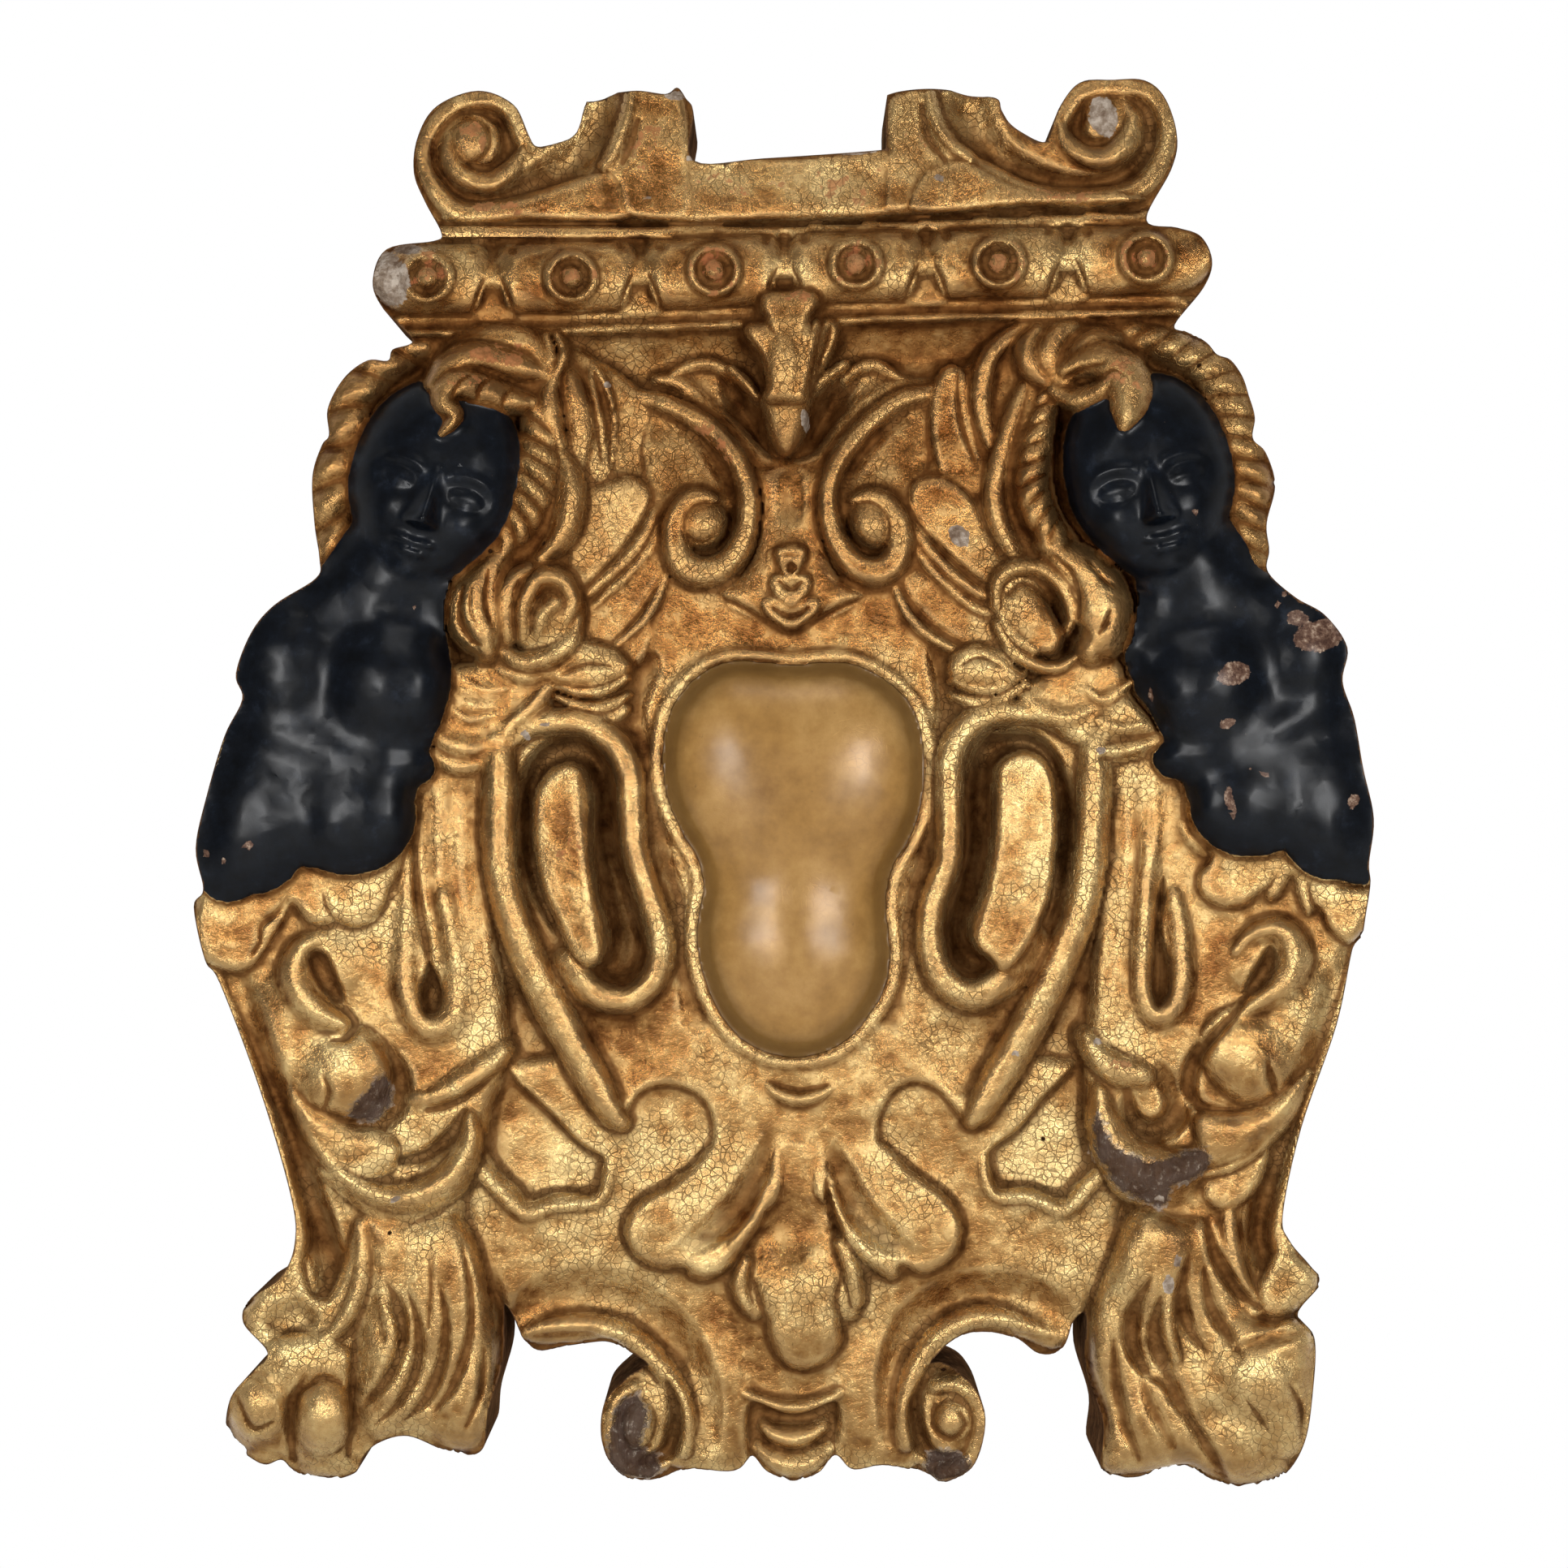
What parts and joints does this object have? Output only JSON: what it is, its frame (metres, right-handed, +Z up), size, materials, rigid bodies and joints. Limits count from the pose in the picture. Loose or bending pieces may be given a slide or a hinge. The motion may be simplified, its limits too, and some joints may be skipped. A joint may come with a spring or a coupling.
{
  "type": "carved cartouche",
  "caption": "Carved giltwood cartouche in relief: waisted boss, scrolled crest and beaded cornice between ebonised figures ending in leafy legs and paws; flat back.",
  "frame": {"origin": "fixing point in the middle of the flat back, where the cartouche rests on the wall", "axes": "+X to the right seen from the front, +Y into the wall, +Z up; the carved side faces -Y"},
  "size_m": [0.3999, 0.0624, 0.4772],
  "materials": {
    "gilded_wood": "old burnished gold leaf over red bole with brown glaze; figures painted near-black, boss in smooth ochre, back bare wood"
  },
  "bodies": {
    "root": {"carved_cartouche": "gilded_wood"}
  },
  "joints": []
}
